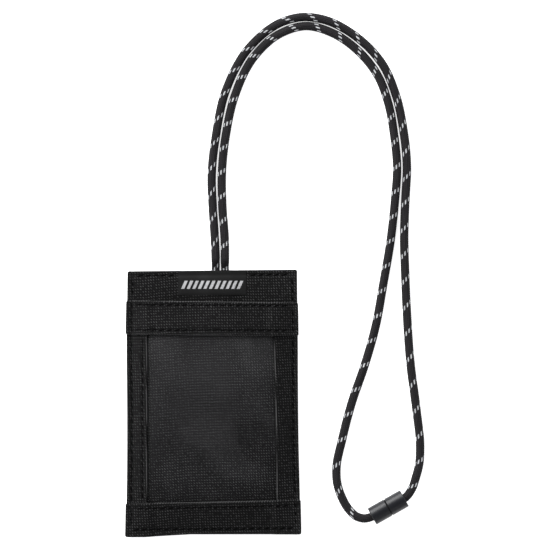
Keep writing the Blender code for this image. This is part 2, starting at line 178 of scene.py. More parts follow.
def cloth_piece(name, middle, thickness, finish):
    """A closed sheet around a grid of points along its middle.

    Every point goes out and back along the grid's normal by half the thickness, times the root of
    1 - (1 - d)^2 near the rim, d being the distance to the rim over half the thickness: a round edge.
    An attribute marks a painted highlight along sharp folds, where folded edges catch the light: how fast
    the normal turns, times the radius of a sharp fold.
    """
    rows, columns = middle.shape[:2]
    normal = np.cross(np.gradient(middle, axis=1), np.gradient(middle, axis=0))
    normal /= np.maximum(np.linalg.norm(normal, axis=2), 1e-12)[..., None]
    across = walked(middle, 1)
    up = walked(middle, 0)
    rim = np.minimum(np.minimum(across, across[:, -1:] - across), np.minimum(up, up[-1:] - up))
    d = np.clip(rim / (thickness / 2), 0, 1)
    half = (thickness / 2 * np.sqrt(1 - (1 - d) ** 2))[..., None]
    front = (middle + normal * half).reshape(-1, 3)
    inside = np.zeros((rows, columns), bool)
    inside[1:-1, 1:-1] = True
    inside = inside.ravel()
    back = (middle - normal * half).reshape(-1, 3)[inside]
    number = np.arange(rows * columns)
    number_back = np.where(inside, rows * columns - 1 + np.cumsum(inside), number)
    quads = grid_quads(rows, columns)
    faces = np.concatenate([quads, number_back[quads][:, ::-1]])
    flat = np.stack([across, up], axis=2).reshape(-1, 2)
    uv = np.concatenate([flat[quads], flat[quads][:, ::-1]])
    made = make_piece(name, np.concatenate([front, back]), faces, uv, finish)
    turn_across = np.linalg.norm(np.gradient(normal, axis=1), axis=2) / np.gradient(across, axis=1)
    turn_up = np.linalg.norm(np.gradient(normal, axis=0), axis=2) / np.gradient(up, axis=0)
    folded = np.clip(np.maximum(turn_across, turn_up) * FOLD_RADIUS, 0, 1).ravel()
    lightened = made.data.attributes.new("lightened", "FLOAT", "POINT")
    lightened.data.foreach_set("value", np.concatenate([folded, folded[inside]]).astype(np.float32))
    return made


class Value:
    """A number or colour inside a material: one socket, with the arithmetic the finishes are written in."""

    def __init__(self, tree, socket):
        self.tree = tree
        self.socket = socket

    def node(self, kind, settings=None, output=0, **inputs):
        """Adds a node of this kind: its settings first, then values or links for its sockets, by name."""
        made = self.tree.nodes.new(kind)
        for key, value in (settings or {}).items():
            setattr(made, key, value)
        for key, value in inputs.items():
            socket = made.inputs[int(key[1:]) if key[1:].isdigit() else key.replace("_", " ")]
            if isinstance(value, Value):
                self.tree.links.new(value.socket, socket)
            else:
                socket.default_value = value
        return Value(self.tree, made.outputs[output])

    def math(self, operation, *others):
        sides = {f"_{i}": side for i, side in enumerate((self, *others))}
        return self.node("ShaderNodeMath", {"operation": operation}, **sides)

    def __add__(self, other):
        return self.math("ADD", other)

    def __sub__(self, other):
        return self.math("SUBTRACT", other)

    def __rsub__(self, other):
        return self.node("ShaderNodeMath", {"operation": "SUBTRACT"}, _0=other, _1=self)

    def __mul__(self, other):
        return self.math("MULTIPLY", other)

    def __truediv__(self, other):
        return self.math("DIVIDE", other)

    def __pow__(self, other):
        return self.math("POWER", other)

    def __abs__(self):
        return self.math("ABSOLUTE")

    __radd__ = __add__
    __rmul__ = __mul__

    def cos(self):
        return self.math("COSINE")

    def wave(self, times=1):
        """This many times from 1 to 0 and back for every whole number."""
        return (self * (TURN * times)).cos() * 0.5 + 0.5

    def fraction(self):
        return self.math("FRACT")

    def most(self, other):
        return self.math("MAXIMUM", other)

    def least(self, other):
        return self.math("MINIMUM", other)

    def step(self, low, high):
        """0 below low, 1 above high, and a smooth turn between."""
        settings = {"interpolation_type": "SMOOTHSTEP"}
        return self.node("ShaderNodeMapRange", settings, Value=self, From_Min=low, From_Max=high)

    def between(self, first, second):
        """The colour that is first at 0 and second at 1."""
        settings = {"data_type": "RGBA", "clamp_factor": True}
        return self.node("ShaderNodeMix", settings, output=2, _0=self, _6=first, _7=second)

    def part(self, axis):
        return self.node("ShaderNodeSeparateXYZ", output=axis, Vector=self)

    def noise(self, place, scale, detail, kind="2D", **more):
        """Noise over a place: 2D on the cloth's own coordinates, 3D in space."""
        settings = {"noise_dimensions": kind}
        return self.node("ShaderNodeTexNoise", settings, Vector=place, Scale=scale, Detail=detail, **more)

    def bump(self, strength, distance, height):
        return self.node("ShaderNodeBump", Strength=strength, Distance=distance, Height=height)


def finish_of(name, roughness, **constants):
    """A new material: its shader with what is the same all over set on it, and a value to build from."""
    made = bpy.data.materials.new(name)
    made.use_nodes = True
    shader = made.node_tree.nodes["Principled BSDF"]
    shader.inputs["Roughness"].default_value = roughness
    for key, value in constants.items():
        shader.inputs[key.replace("_", " ")].default_value = value
    return made, shader, Value(made.node_tree, None)


def feed(made, shader, **inputs):
    """Links values to the shader's sockets."""
    for key, value in inputs.items():
        made.node_tree.links.new(value.socket, shader.inputs[key.replace("_", " ")])


def split_uv(base):
    """A piece's own cloth coordinates, in metres, and their two parts."""
    place = base.node("ShaderNodeUVMap", {"uv_map": "cloth"})
    return place, place.part(0), place.part(1)


TURN = 2 * np.pi
DOT_ACROSS = 0.001365
DOT_UP = 0.00145
YARNS_IN_DOT = 3
BLACK = (0.0009, 0.0009, 0.0009, 1)
BLACK_WORN = (0.0030, 0.0030, 0.0031, 1)
FLOAT_GREY = (0.044, 0.044, 0.044, 1)


def woven_nylon():
    """Black nylon in a small dobby weave: fine plain yarns, and on every third a float that catches light.

    The floats lean, so they line up slantwise: rise_both is greatest along lines of equal a + b.
    """
    made, shader, base = finish_of("nylon_weave", 0.72, Specular_IOR_Level=0.10)
    place, u, v = split_uv(base)
    wander = base.noise(place, 140.0, 1.0) - 0.5
    a = u / DOT_ACROSS + wander * 0.35 + v * 30.0
    b = v / DOT_UP + wander * 0.25 - u * 20.0
    rise_a = a.wave()
    rise_b = b.wave()
    rise_both = (a + b).wave()
    dot = (rise_a**0.5) * (rise_b**0.6) * (rise_both**1.8)
    fine_a = (a * (TURN * YARNS_IN_DOT)).cos()
    fine_b = (b * (TURN * YARNS_IN_DOT)).cos()
    plain = fine_a * fine_b * 0.5 + fine_a.most(fine_b) * 0.5
    patchy = base.noise(place, 55.0, 2.0)
    broken = base.noise(place, 900.0, 1.0)
    lightened = base.node("ShaderNodeAttribute", {"attribute_name": "lightened"}, output=2).step(0.25, 0.9)
    lit = dot * (broken.step(0.30, 0.62) * 0.62 + 0.21) * (patchy * 0.9 + 0.45)
    # Painted highlight: along sharp folds the floats are made paler, as if the folded edge caught the
    # light.
    lit = lit + lightened * (rise_a * 0.4 + 0.14)
    cloth = (plain * 0.30 + patchy * 0.65).between(BLACK, BLACK_WORN)
    colour = lit.step(0.10, 0.60).between(cloth, FLOAT_GREY)
    height = dot * 0.8 + plain * 0.35 + broken * 0.3
    bump = base.bump(0.55, 0.00012, height)
    feed(made, shader, Base_Color=colour, Roughness=0.80 - dot * 0.22, Normal=bump)
    return made


def rear_middle(x, y):
    """Height of the rear panel's middle: flat on the table, with slack edges that lift by a hair."""
    edge = np.minimum(x - left_edge(y), right_edge(y) - x)
    lift = 0.00012 * np.exp(-edge / 0.0012) * (1 + np.sin(y * 95 + 1))
    return CLOTH / 2 + 0.00002 + lift


nylon = woven_nylon()
middle = patch(bottom_edge, top_edge, left_edge, right_edge, CORNER, rear_middle)
rear = cloth_piece("rear_panel_cloth", middle, CLOTH, nylon)
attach(rear, "pouch")
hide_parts("rear_panel")

# ------------------------------------------------------------
# Neck cord: one knitted cord, 4.4 mm thick, laid down as a loop. Both ends are pressed flat and caught
# in the top seam; each run ends in a melted bead inside its half of the barrel. Every second wale carries
# a reflective tracer that shows as short white dashes.

CORD = 0.0044
CLEARANCE = 0.0003
CORD_LOW = CORD / 2 + 0.00005
CORD_SHIFT = 0.0037
CORD_SPACING = 0.00475
FOLD_WIDTH = 0.0041
FOLD_THICK = 0.0008
FOLD_DEPTH = 0.0100
FOLD_MIDDLE = 0.00092
ROUND_BY = 0.0060
BARREL_HALF = 0.0097
CORD_STOP = 0.0076
BARREL_AXIS = np.array([0.870356, 0.492424, 0.0])
BARREL_CENTRE = np.array([0.0911, -0.0539, 0.00485])

AROUND = 48
COLUMNS = 8
COURSES = 14
DASH_HALF_WIDTH = 0.18
DASH_HALF_LENGTH = 0.078
RING_STEP = 0.00024
WALE_DEPTH = 0.00012
COURSE_DEPTH = 0.00005
DASH_RISE = 0.00006


def at_barrel(along):
    """A point on the barrel's axis, this far from its parting line towards the plug's end."""
    return tuple(BARREL_CENTRE + BARREL_AXIS * along)


def smooth_route(route, step):
    """Points this far apart on the smooth curve through a route."""
    points = np.array(route)
    knots = np.append(0, np.cumsum(np.linalg.norm(np.diff(points, axis=0), axis=1)))
    fine = smooth_through(knots, points, np.linspace(0, knots[-1], 60 * len(points)))
    along = np.append(0, np.cumsum(np.linalg.norm(np.diff(fine, axis=0), axis=1)))
    spots = np.linspace(0, along[-1], round(along[-1] / step))
    return np.column_stack([np.interp(spots, along, fine[:, i]) for i in range(3)]), spots


def tube(name, path, half_width, half_height, count, turn, shear, finish):
    """A knitted tube carried along a path.

    Round the path, angle 0 is on top and the circle or flattened ellipse has half_width sideways and
    half_height upwards. The knit's wales are grooves along it and its courses are low ribs round it, which
    lean by shear. count is how many tracer repeats have gone by, and turn where the first column stands.
    """
    rows = len(path)
    ahead = np.gradient(path, axis=0)
    ahead /= np.linalg.norm(ahead, axis=1)[:, None]
    side = np.cross(ahead, [0.0, 0.0, 1.0])
    side /= np.linalg.norm(side, axis=1)[:, None]
    up = np.cross(side, ahead)
    angle = np.linspace(-np.pi, np.pi, AROUND + 1)[None, :]
    column = angle / TURN * COLUMNS - turn[:, None]
    repeat = count[:, None] - shear[:, None] * column
    near = np.abs(column - np.round(column))
    passed = np.abs(repeat - np.round(repeat))
    wale = -WALE_DEPTH * (0.5 - 0.5 * np.cos(TURN * 2 * column))
    course = COURSE_DEPTH * np.cos(TURN * COURSES * repeat + TURN * near)
    dash = DASH_RISE * (near < DASH_HALF_WIDTH) * (passed < DASH_HALF_LENGTH)
    relief = 1 + (WALE_DEPTH / 2 + wale + course + dash) / (CORD / 2)
    sideways = half_width[:, None] * relief * np.sin(angle)
    upwards = half_height[:, None] * relief * np.cos(angle)
    points = path[:, None] + side[:, None] * sideways[..., None] + up[:, None] * upwards[..., None]
    quads = grid_quads(rows, AROUND, wrapped=True)
    flat = np.stack([repeat, column], axis=2).reshape(-1, 2)
    uv = flat[grid_quads(rows, AROUND + 1)].reshape(-1, 2)
    last = (rows - 1) * AROUND
    faces = [*quads.tolist(), list(range(AROUND - 1, -1, -1)), list(range(last, last + AROUND))]
    uv = np.concatenate([uv, flat[AROUND - 1 :: -1], flat[-AROUND - 1 : -1]])
    return make_piece(name, points[:, :AROUND].reshape(-1, 3), faces, uv, finish)


YARN = (0.0022, 0.0020, 0.0023, 1)
YARN_LIT = (0.0165, 0.0152, 0.0170, 1)
TRACER = (0.56, 0.565, 0.57, 1)
TRACER_DULL = (0.28, 0.29, 0.31, 1)


def knitted_cord():
    """Charcoal knit with a tracer: dashes two or three stitches long, on every second wale."""
    made, shader, base = finish_of("cord_knit", 0.8, Specular_IOR_Level=0.15)
    place, repeat, column = split_uv(base)
    near = abs((column + 0.5).fraction() - 0.5)
    passed = abs((repeat + 0.5).fraction() - 0.5)
    on_wale = 1 - near.step(0.165, 0.235)
    on_length = 1 - passed.step(0.072, 0.086)
    stitch = repeat.wave(COURSES)
    tracer = on_wale * on_length * (0.62 + 0.5 * stitch.step(0.05, 0.45))
    course = (repeat * COURSES + near * 1.6).wave()
    wale = column.wave(2)
    along = base.node("ShaderNodeMapping", {"vector_type": "POINT"}, Vector=place, Scale=(6.0, 1.0, 1.0))
    fuzz = base.noise(along, 3.0, 3.0)
    broad = base.noise(place, 1.1, 1.0)
    lit = (wale * 0.45 + course * 0.40 + fuzz * 0.45) * (broad * 0.6 + 0.7)
    yarn = ((lit - 0.25) * 1.2).between(YARN, YARN_LIT)
    white = (broad * 1.2 - 0.1).between(TRACER_DULL, TRACER)
    colour = tracer.between(yarn, white)
    height = wale * 0.5 + course * 0.5 + fuzz * 0.25 + tracer * 0.3
    bump = base.bump(0.8, 0.0002, height)
    feed(made, shader, Base_Color=colour, Roughness=0.82 - tracer * 0.35, Normal=bump)
    return made


def eased(t):
    """0 up to 0, 1 from 1 on, and a smooth turn between."""
    t = np.clip(t, 0, 1)
    return t * t * (3 - 2 * t)


def run_of_cord(name, route, first, pitch, slips, leans, turn_by):
    """One run of the cord: flat in the seam, round from ROUND_BY on, with its own phase of the tracer.

    The tracer starts first metres along and repeats every pitch. slips are the repeats by which the knit is
    drawn out at each quarter of the run, leans the shear at its two ends, and turn_by the degrees by which
    the columns have turned at its start, middle and end.
    """
    path, along = smooth_route(route, RING_STEP)
    opened = eased((along - CLEARANCE) / ROUND_BY)
    half_width = FOLD_WIDTH / 2 + (CORD - FOLD_WIDTH) / 2 * opened
    half_height = FOLD_THICK / 2 + (CORD - FOLD_THICK) / 2 * opened
    path[:, 2] += (FOLD_MIDDLE - CORD_LOW) * (1 - opened)
    share = along / along[-1]
    count = (along - first) / pitch + smooth_through([0, 0.25, 0.5, 0.75, 1], slips, share)
    shear = leans[0] + (leans[1] - leans[0]) * share
    turn = smooth_through([0, 0.5, 1], turn_by, share) * COLUMNS / 360
    made = tube(name, path, half_width, half_height, count, turn, shear, knit)
    return made, path


knit = knitted_cord()
low = CORD_LOW
start = POUCH_TOP + CLEARANCE
left = CORD_SHIFT - CORD_SPACING / 2
right = CORD_SHIFT + CORD_SPACING / 2
outer_flat = [
    (0.0009, 0.0850), (-0.0003, 0.1040), (-0.0008, 0.1176), (0.0014, 0.1395), (0.0071, 0.1645),
    (0.0190, 0.1857), (0.0374, 0.1994), (0.0468, 0.2014), (0.0562, 0.2004), (0.0751, 0.1907),
    (0.0881, 0.1769), (0.0953, 0.1603), (0.0989, 0.1436), (0.1009, 0.1240), (0.1001, 0.1061),
    (0.0995, 0.0860), (0.1000, 0.0680), (0.1010, 0.0456), (0.1027, 0.0216), (0.1059, -0.0034),
    (0.1078, -0.0225),
]
outer_route = [
    (left, start, low),
    (left, start + 0.004, low),
    *((x, y, low) for x, y in outer_flat),
    (0.1073, -0.0315, low + 0.0003),
    (0.1056, -0.0382, low + 0.0009),
    (0.1033, -0.0446, low + 0.0018),
    at_barrel(BARREL_HALF + CLEARANCE),
    at_barrel(CORD_STOP),
]
inner_flat = [
    (0.0060, 0.0850), (0.0047, 0.1040), (0.0045, 0.1190), (0.0066, 0.1400), (0.0113, 0.1605),
    (0.0216, 0.1811), (0.0342, 0.1924), (0.0484, 0.1967), (0.0621, 0.1931), (0.0749, 0.1843),
    (0.0858, 0.1708), (0.0913, 0.1562), (0.0943, 0.1395), (0.0958, 0.1228), (0.0947, 0.1061),
    (0.0923, 0.0842), (0.0888, 0.0634), (0.0844, 0.0394), (0.0784, 0.0185), (0.0726, 0.0018),
    (0.0671, -0.0190), (0.0642, -0.0336), (0.0645, -0.0409),
]
inner_route = [
    (right, start, low),
    (right, start + 0.004, low),
    *((x, y, low) for x, y in inner_flat),
    (0.0667, -0.0481, low + 0.0001),
    (0.0708, -0.0552, low + 0.0006),
    (0.0742, -0.0584, low + 0.0011),
    (0.0784, -0.0597, low + 0.0019),
    at_barrel(-BARREL_HALF - CLEARANCE),
    at_barrel(-CORD_STOP),
]
outer, outer_path = run_of_cord(
    "cord_outer_run",
    outer_route,
    first=0.0137,
    pitch=0.01305,
    slips=(0, -0.06, -0.10, -0.28, -0.545),
    leans=(0.165, 0.105),
    turn_by=(-18, 2, -34),
)
inner, inner_path = run_of_cord(
    "cord_inner_run",
    inner_route,
    first=0.0127,
    pitch=0.01273,
    slips=(0, -0.02, -0.07, -0.29, -0.78),
    leans=(0.085, 0.095),
    turn_by=(-19, 10, 4),
)
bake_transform(outer)
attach(inner, "pouch")
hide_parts("cord_outer")
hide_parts("cord_inner")

# The bend of the cord, pressed flat between the two plies of the back wall: a U with its legs up.
bend_out = CORD_SPACING / 2
bend_turn = np.linspace(0, np.pi, 40)
bend_start = POUCH_TOP - FOLD_DEPTH + FOLD_WIDTH / 2 + bend_out
legs = np.linspace(start, bend_start, 20)[:-1]
round_x = CORD_SHIFT - bend_out * np.cos(bend_turn)
bend_x = np.concatenate([np.full(len(legs), left), round_x, np.full(len(legs), right)])
bend_y = np.concatenate([legs, bend_start - bend_out * np.sin(bend_turn), legs[::-1]])
flat_all = np.ones(len(bend_x))
bend = np.column_stack([bend_x, bend_y, FOLD_MIDDLE * flat_all])
fold = tube(
    "cord_fold_pressed",
    bend,
    FOLD_WIDTH / 2 * flat_all,
    FOLD_THICK / 2 * flat_all,
    walked(bend[None], 1)[0] / 0.013,
    flat_all * 0.4,
    flat_all * 0.1,
    knit,
)
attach(fold, "pouch")
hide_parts("cord_fold")

# ------------------------------------------------------------
# Inner panel: the second ply of the back wall and the inside of the pocket's back. It shows above the
# pocket's mouth, and its top edge is sewn to the rear panel, over the pressed end of the cord.

INNER_MIDDLE = 0.00072
HUMP = 0.00086
HUMP_RUN = 0.008
SEWN_RISE = 0.00030
SEWN_REACH = 0.0007
FINE_STEP = 0.00055


def hem_row(x):
    """Height up the pouch of the sewing along the top edge."""
    return 0.0670 + 0.0068 * x


def side_row_left(y):
    return left_edge(y) + SIDE_SEAM


def side_row_right(y):
    return right_edge(y) - SIDE_SEAM


def beside_rows(*distances):
    """How far cloth stands up beside rows of sewing: rise * (1 - exp(-(distance / reach)^2))."""
    nearest = np.minimum.reduce([np.abs(distance) for distance in distances])
    return SEWN_RISE * (1 - np.exp(-((nearest / SEWN_REACH) ** 2)))


def inner_middle(x, y):
    """Height of the inner panel's middle: raised over the pressed cord, and pulled down by its sewing."""
    aside = eased((np.abs(x - CORD_SHIFT) - CORD_SPACING / 2 - FOLD_WIDTH / 2) / HUMP_RUN)
    below = eased((POUCH_TOP - FOLD_DEPTH - CLEARANCE - y) / (2 * HUMP_RUN))
    rise = beside_rows(y - hem_row(x), x - side_row_left(y), x - side_row_right(y))
    return INNER_MIDDLE + HUMP * (1 - aside) * (1 - below) + rise * eased((y - 0.050) / 0.004)


middle = patch(
    shifted(bottom_edge, 0.0001),
    shifted(top_edge, -0.0001),
    shifted(left_edge, 0.0001),
    shifted(right_edge, -0.0001),
    CORNER,
    inner_middle,
    FINE_STEP,
)
inner_cloth = cloth_piece("inner_panel_cloth", middle, CLOTH, nylon)
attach(inner_cloth, "pouch")
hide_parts("inner_panel")

# ------------------------------------------------------------
# Label patch: smooth black rubber, sewn in with the top seam and glued down. It carries a plain printed
# row of slanted bars.

LABEL_LEFT = -0.0181
LABEL_RIGHT = 0.0171
LABEL_LOW = 0.0566
LABEL_THICK = 0.0003
LABEL_TAPER = 0.0020
LABEL_CORNER = 0.0004
BARS = 11
BAR_PITCH = 0.0029
BAR_WIDTH = 0.0016
BAR_LOW = 0.0598
BAR_HIGH = 0.0640
BAR_SLANT = 0.45
BAR_UNDERSIDE = 0.00016
BAR_TOP = 0.00023


def label_middle(x, y):
    """Height of the label's middle: its rim is thin and runs down to the cloth."""
    rim = np.minimum(np.minimum(x - LABEL_LEFT, LABEL_RIGHT - x), y - LABEL_LOW)
    return inner_middle(x, y) + CLOTH / 2 + 0.00001 + LABEL_THICK / 2 * eased(rim / LABEL_TAPER + 0.2)


def smooth_rubber():
    """Black rubber with a fine even grain."""
    made, shader, base = finish_of("label_rubber", 0.5, Specular_IOR_Level=0.12)
    grain = base.noise(split_uv(base)[0], 2600.0, 1.0)
    bump = base.bump(0.2, 0.00004, grain)
    colour = grain.between((0.0055, 0.0055, 0.0056, 1), (0.0080, 0.0080, 0.0081, 1))
    feed(made, shader, Base_Color=colour, Normal=bump)
    return made


def bar_print():
    """Light grey ink, a little worn."""
    made, shader, base = finish_of("label_print", 0.55, Specular_IOR_Level=0.3)
    place = base.node("ShaderNodeTexCoord", output=3)
    lightened = base.noise(place, 1600.0, 2.0, "3D")
    colour = lightened.step(0.3, 0.6).between((0.22, 0.22, 0.225, 1), (0.34, 0.34, 0.345, 1))
    feed(made, shader, Base_Color=colour)
    return made


rubber = smooth_rubber()
middle = patch(
    lambda x: LABEL_LOW + 0 * x,
    shifted(top_edge, -0.0002),
    lambda y: LABEL_LEFT + 0 * y,
    lambda y: LABEL_RIGHT + 0 * y,
    LABEL_CORNER,
    label_middle,
)
label = cloth_piece("label_patch_rubber", middle, LABEL_THICK, rubber)
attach(label, "pouch")
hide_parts("label_patch")

# The bars are one mesh: each is a thin closed slab, three quads high, that follows the label.
ink_points = []
ink_faces = []
for i in range(BARS):
    centre = (LABEL_LEFT + LABEL_RIGHT) / 2 + (i - (BARS - 1) / 2) * BAR_PITCH
    for height in (BAR_UNDERSIDE, BAR_TOP):
        for y in np.linspace(BAR_LOW, BAR_HIGH, 4):
            lean = BAR_SLANT * (y - (BAR_LOW + BAR_HIGH) / 2)
            for x in (centre + lean - BAR_WIDTH / 2, centre + lean + BAR_WIDTH / 2):
                ink_points.append((x, y, float(label_middle(x, y)) + height))
    first = 16 * i
    ring = [0, 1, 3, 5, 7, 6, 4, 2]
    for row in range(3):
        a = first + 2 * row
        ink_faces.append((a + 8, a + 9, a + 11, a + 10))
        ink_faces.append((a + 2, a + 3, a + 1, a))
    for here, ahead in zip(ring, ring[1:] + ring[:1]):
        ink_faces.append((first + here, first + ahead, first + ahead + 8, first + here + 8))
ink = make_piece("label_bars", ink_points, ink_faces, None, bar_print(), sharp=30)
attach(ink, "pouch")

# ------------------------------------------------------------
# Pocket panel: the front of the main pocket and the backing of the card window. It is sewn to the back at
# the sides and the bottom, and stands open at its mouth.

POCKET_MIDDLE = 0.00119
POCKET_RISE = 0.0054
BULGE_RUN = 0.030


def mouth_edge(x):
    """The pocket's mouth, a little lower on the right."""
    return 0.05305 - 0.0102 * x


def bulge(x, y):
    """Share of the full opening: none along the sewn sides and bottom, and 1 in the middle of the mouth."""
    middle = (left_edge(y) + right_edge(y)) / 2
    half = (right_edge(y) - left_edge(y)) / 2 - SIDE_SEAM
    across = np.clip(np.abs(x - middle) / half, 0, 1)
    up = np.clip((y - POUCH_BOTTOM - SIDE_SEAM) / BULGE_RUN, 0, 1)
    return (1 - across**4) * np.sin(up * np.pi / 2)


def pocket_middle(x, y):
    """Height of the pocket panel's middle: domed, with slow slack waves."""
    domed = bulge(x, y)
    waves = np.sin(150 * x + 60 * y + 0.6) * np.sin(75 * y - 40 * x + 1.1) + 0.5 * np.sin(210 * y + 90 * x)
    return POCKET_MIDDLE + POCKET_RISE * domed + 0.00016 * waves * domed


middle = patch(
    shifted(bottom_edge, 0.0002),
    shifted(mouth_edge, -0.0006),
    shifted(left_edge, 0.0002),
    shifted(right_edge, -0.0002),
    CORNER,
    pocket_middle,
)
pocket = cloth_piece("pocket_panel_cloth", middle, CLOTH, nylon)
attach(pocket, "pouch")
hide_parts("pocket_panel")

# ------------------------------------------------------------
# Window film: soft clear vinyl over the pocket panel, a little cloudy and wavy. The strips and the bands
# hold its edges.

FILM = 0.0002
FILM_CORNER = 0.0008
CARD_ROOM = 0.0009
WINDOW_LEFT = -0.0345
FILM_HELD = 0.0080
TOP_BAND_LOW = 0.0358
BOTTOM_BAND_HIGH = -0.0511


def window_right(y):
    """The right strip's folded edge, which leans out towards the bottom."""
    return 0.0326 - 0.022 * np.clip(y - 0.005, -0.030, 0.040)


def top_band_edge(x):
    return TOP_BAND_LOW - 0.0091 * x


def bottom_band_edge(x):
    return BOTTOM_BAND_HIGH + 0.0204 * x


def film_middle(x, y):
    return pocket_middle(x, y) + 0.00037 + CARD_ROOM * bulge(x, y)


# Dents in the film: height, middle across and up the pouch, and reach each way.
DENTS = [
    (-0.00045, 0.024, -0.020, 0.009, 0.011),
    (-0.0003, -0.025, -0.043, 0.004, 0.004),
    (0.0002, 0.002, 0.004, 0.018, 0.02),
]


def film_waves(x, y):
    """Broad dents in the vinyl inside the window, gone where it is held."""
    inside = 1
    for edge_gap in (
        x - WINDOW_LEFT - 0.001,
        window_right(y) - 0.001 - x,
        y - bottom_band_edge(x) - 0.001,
        top_band_edge(x) - y,
    ):
        inside = inside * eased(edge_gap / 0.008)
    dent = 0
    for height, at_x, at_y, reach_x, reach_y in DENTS:
        dent = dent + height * np.exp(-(((x - at_x) / reach_x) ** 2) - ((y - at_y) / reach_y) ** 2)
    return inside * (dent + 0.0001 * np.sin(190 * x + 40 * y) * np.sin(120 * y - 30 * x))


# Painted dark patches, where the film's reflection is painted weaker: the middle across and up the film,
# and the reach each way.
PAINTED_DARK_PATCHES = [
    (0.0655, 0.0390, 0.0120, 0.0135),
    (0.0165, 0.0150, 0.0035, 0.0040),
    (0.0540, 0.0150, 0.0160, 0.0050),
]


def cloudy_vinyl():
    """Clear vinyl under a soft gloss, with a thin patchy grey cloudiness, and a painted reflection that
    makes it paler towards the window's top.

    A few patches near the bottom are painted clear and dark: painted dips in its reflection.
    """
    made, shader, base = finish_of("clear_vinyl", 0.3, Specular_IOR_Level=0.5)
    place, u, v = split_uv(base)
    cloud = base.noise(place, 42.0, 2.0, Distortion=0.6)
    scuff = base.noise(place, 700.0, 2.0)
    # The cloud noise is a real thin cloudiness; the rise with v towards the top is a painted reflection.
    haze_and_reflection = cloud * 0.9 + v * 7.5 - 0.42
    # Painted dark patches: the reflection is painted weaker in each of these.
    for centre_u, centre_v, reach_u, reach_v in PAINTED_DARK_PATCHES:
        gap_u = (u - centre_u) / reach_u
        gap_v = (v - centre_v + (u - centre_u) * 0.4) / reach_v
        painted_dark_patch = 1 - (gap_u * gap_u + gap_v * gap_v + (cloud - 0.5) * 1.5).step(0.3, 1.3)
        haze_and_reflection = haze_and_reflection - painted_dark_patch * 0.55
    haze_and_reflection = haze_and_reflection.most(0.0).least(1.0)
    colour = haze_and_reflection.between((0.020, 0.020, 0.021, 1), (0.075, 0.075, 0.077, 1))
    bump = base.bump(0.12, 0.0001, scuff + cloud * 4.0)
    alpha = 0.05 + haze_and_reflection * 0.10
    feed(made, shader, Base_Color=colour, Alpha=alpha, Roughness=0.24 + scuff * 0.12, Normal=bump)
    return made


vinyl = cloudy_vinyl()
middle = patch(
    shifted(bottom_band_edge, -FILM_HELD),
    shifted(top_band_edge, FILM_HELD),
    lambda y: WINDOW_LEFT - FILM_HELD + 0.0004 + 0 * y,
    lambda y: window_right(y) + FILM_HELD - 0.0004,
    FILM_CORNER,
    lambda x, y: film_middle(x, y) + film_waves(x, y),
)
film = cloth_piece("window_film_sheet", middle, FILM, vinyl)
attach(film, "pouch")
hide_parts("window_film")

# ------------------------------------------------------------
# Side strips: a strip of the same nylon down each side of the window, over the edge of the vinyl. Its
# inner edge is turned under and its outer edge is caught in the side seam. The left strip has a second row
# of sewing along the window; the right one hasn't, so a card slides in there.

HEM = 0.0065
STRIP_ROW = 0.0023
STRIP_OVERLAP = 0.0090


def fold_line(hem):
    """A turned-in hem in section, up to the top ply: distances in from the folded edge, and heights."""
    under = np.linspace(hem, FOLD_RADIUS, 10)
    turn = np.linspace(0, np.pi, 11)[1:]
    away = np.concatenate([under, FOLD_RADIUS - FOLD_RADIUS * np.sin(turn)])
    return away, np.concatenate([0 * under, FOLD_RADIUS - FOLD_RADIUS * np.cos(turn)])


def strip_row(y):
    return WINDOW_LEFT - STRIP_ROW + 0 * y


def strip_base(x, y):
    """Height of the middle of a strip's under ply."""
    return film_middle(x, y) + FILM / 2 + CLOTH / 2 + 0.00003


def strip_rise(x, y):
    sides = [x - side_row_left(y), x - side_row_right(y)]
    return beside_rows(*sides, np.where(x < 0, x - strip_row(y), 1.0))


def strip(name, inner_side, outer_side):
    """A strip with its inner edge turned under: its section, swept up the pouch from band to band."""
    away, height = fold_line(HEM)
    width = abs(float(outer_side(0.0) - inner_side(0.0)))
    flat = np.linspace(FOLD_RADIUS, width, 32)[1:]
    away = np.concatenate([away, flat])[None, :]
    height = np.concatenate([height, np.full(len(flat), 2 * FOLD_RADIUS)])[None, :]
    y = np.linspace(BOTTOM_BAND_HIGH - STRIP_OVERLAP, TOP_BAND_LOW + STRIP_OVERLAP, 140)[:, None]
    x = inner_side(y) + (outer_side(y) - inner_side(y)) * away / width
    y = y + 0 * away
    z = strip_base(x, y) + height + strip_rise(x, y)
    middle = np.stack([x, y, z], axis=2)
    if outer_side(0.0) < inner_side(0.0):
        middle = middle[:, ::-1]
    return cloth_piece(name, middle, CLOTH, nylon)


left_strip = strip("left_strip_cloth", lambda y: WINDOW_LEFT + 0 * y, shifted(left_edge, 0.0001))
right_strip = strip("right_strip_cloth", window_right, shifted(right_edge, -0.0001))
for made, node in ((left_strip, "left_strip"), (right_strip, "right_strip")):
    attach(made, "pouch")
    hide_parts(node)

# ------------------------------------------------------------
# Bands: two wider bands of the nylon across the front. The top one is folded under along both edges and
# binds the pocket's mouth; the bottom one is folded under along its upper edge and caught in the bottom
# seam. Each has two rows of sewing.

BAND_WIDTH = 0.0908
BAND_OVERHANG = 0.0004
BAND_HEM = 0.0078
BAND_CORNER = 0.0008


def over_strips(x, y):
    """1 over the side strips, falling to 0 inside the window."""
    return 1 - eased(np.minimum(x - WINDOW_LEFT, window_right(y) - x) / 0.0045)


def top_band_upper_row(x):
    return 0.0513 - 0.0068 * x


def top_band_lower_row(x):
    return 0.0383 - 0.0030 * x


def bottom_band_upper_row(x):
    return -0.0538 + 0.0204 * x


def bottom_band_lower_row(x):
    return -0.0652 + 0.0102 * x


